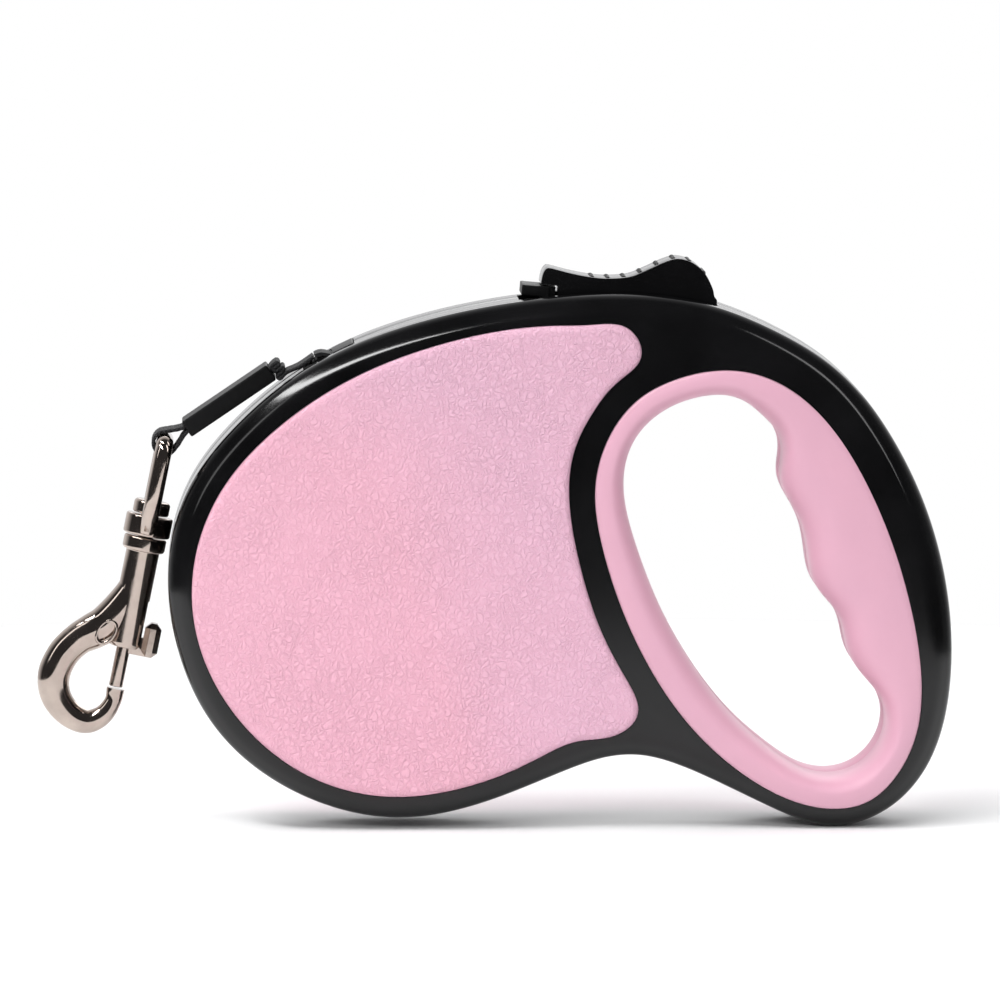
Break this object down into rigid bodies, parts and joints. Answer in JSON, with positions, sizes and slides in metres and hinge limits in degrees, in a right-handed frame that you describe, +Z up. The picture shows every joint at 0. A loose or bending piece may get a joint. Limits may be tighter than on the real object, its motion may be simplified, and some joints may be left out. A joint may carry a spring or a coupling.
{
  "type": "retractable leash",
  "caption": "Retractable dog leash: flat oval case with a moulded hand hole, thumb brake on the rim, sprung tape reel and a swivel bolt snap.",
  "frame": {"origin": "middle of the handle's bar, where a hand holds the leash, in the middle plane", "axes": "+X from the reel to the handle's back, +Y from the left side face to the right one, +Z up towards the brake button"},
  "size_m": [0.1875, 0.032, 0.1165],
  "materials": {
    "black_gloss": "polished black",
    "black_satin": "satin black",
    "pink_panel": "soft pink, with a fine cracked leather grain",
    "pink_grip": "smooth soft-touch pink",
    "white_plastic": "natural white acetal",
    "black_tape": "woven nylon tape",
    "hook_metal": "polished black nickel",
    "steel": "zinc plated",
    "spring_steel": "blued spring steel"
  },
  "bodies": {
    "case": {"left_casing": "black_gloss", "right_casing": "black_gloss", "left_panel": "pink_panel", "right_panel": "pink_panel", "left_grip": "pink_grip", "right_grip": "pink_grip", "case_screw_1": "steel", "case_screw_2": "steel", "case_screw_3": "steel", "case_screw_4": "steel", "case_screw_5": "steel", "case_screw_6": "steel", "power_spring": "spring_steel", "centre_shaft": "steel", "inner_tape": "black_tape", "outer_tape": "black_tape", "pawl_pin": "steel", "tape_guide": "black_satin", "guide_roller": "black_satin", "guide_pin": "steel"},
    "reel": {"spool": "white_plastic", "spool_flange": "white_plastic", "spring_cover": "white_plastic", "wound_tape": "black_tape"},
    "leash_end": {"tape_loop": "black_tape", "stop_sleeve": "black_satin"},
    "eye": {"hook_eye": "hook_metal"},
    "hook": {"hook_body": "hook_metal", "swivel_rivet": "hook_metal", "bolt_spring": "spring_steel"},
    "bolt": {"hook_bolt": "hook_metal"},
    "brake_slide": {"lock_slide": "black_satin", "button_spring": "spring_steel"},
    "button": {"brake_button": "black_gloss"},
    "pawl": {"brake_pawl": "steel"}
  },
  "joints": [
    {"name": "leash_pull", "type": "slide", "parent": "case", "child": "leash_end", "axis": [-0.8095, 0, -0.5872], "range_m": [0, 4.8], "stiffness_N_per_m": 0.2, "springref_m": -5, "deforming": ["outer_tape"]},
    {"name": "spool_spin", "type": "hinge", "parent": "case", "child": "reel", "pos_m": [-0.1, 0, 0], "axis": [0, -1, 0], "range_deg": [0, 9001]},
    {"name": "hook_swing", "type": "hinge", "parent": "leash_end", "child": "eye", "pos_m": [-0.14935, 0, 0.02655], "axis": [0, 1, 0], "range_deg": [0, 110]},
    {"name": "swivel_spin", "type": "hinge", "parent": "eye", "child": "hook", "pos_m": [-0.14935, 0, 0.02655], "axis": [0.1994, 0, 0.9799], "range_deg": [-150, 150]},
    {"name": "bolt_slide", "type": "slide", "parent": "hook", "child": "bolt", "axis": [0.1994, 0, 0.9799], "range_m": [0, 0.006], "stiffness_N_per_m": 300, "springref_m": -0.006, "deforming": ["bolt_spring"]},
    {"name": "lock_slide_travel", "type": "slide", "parent": "case", "child": "brake_slide", "axis": [-0.9962, 0, 0.0872], "range_m": [0, 0.004]},
    {"name": "button_press", "type": "hinge", "parent": "brake_slide", "child": "button", "pos_m": [-0.06957, 0, 0.05942], "axis": [0, 1, 0], "range_deg": [0, 6], "stiffness_Nm_per_rad": 0.2, "springref_deg": -5.73, "deforming": ["button_spring"]},
    {"name": "pawl_swing", "type": "hinge", "parent": "case", "child": "pawl", "pos_m": [-0.062, 0, 0.046], "axis": [0, 1, 0], "range_deg": [0, 10.1]}
  ],
  "couplings": [
    {"joint": "spool_spin", "follows": "leash_pull", "rad_per_m": 32.725},
    {"joint": "pawl_swing", "follows": "button_press", "ratio": 1.6667}
  ]
}
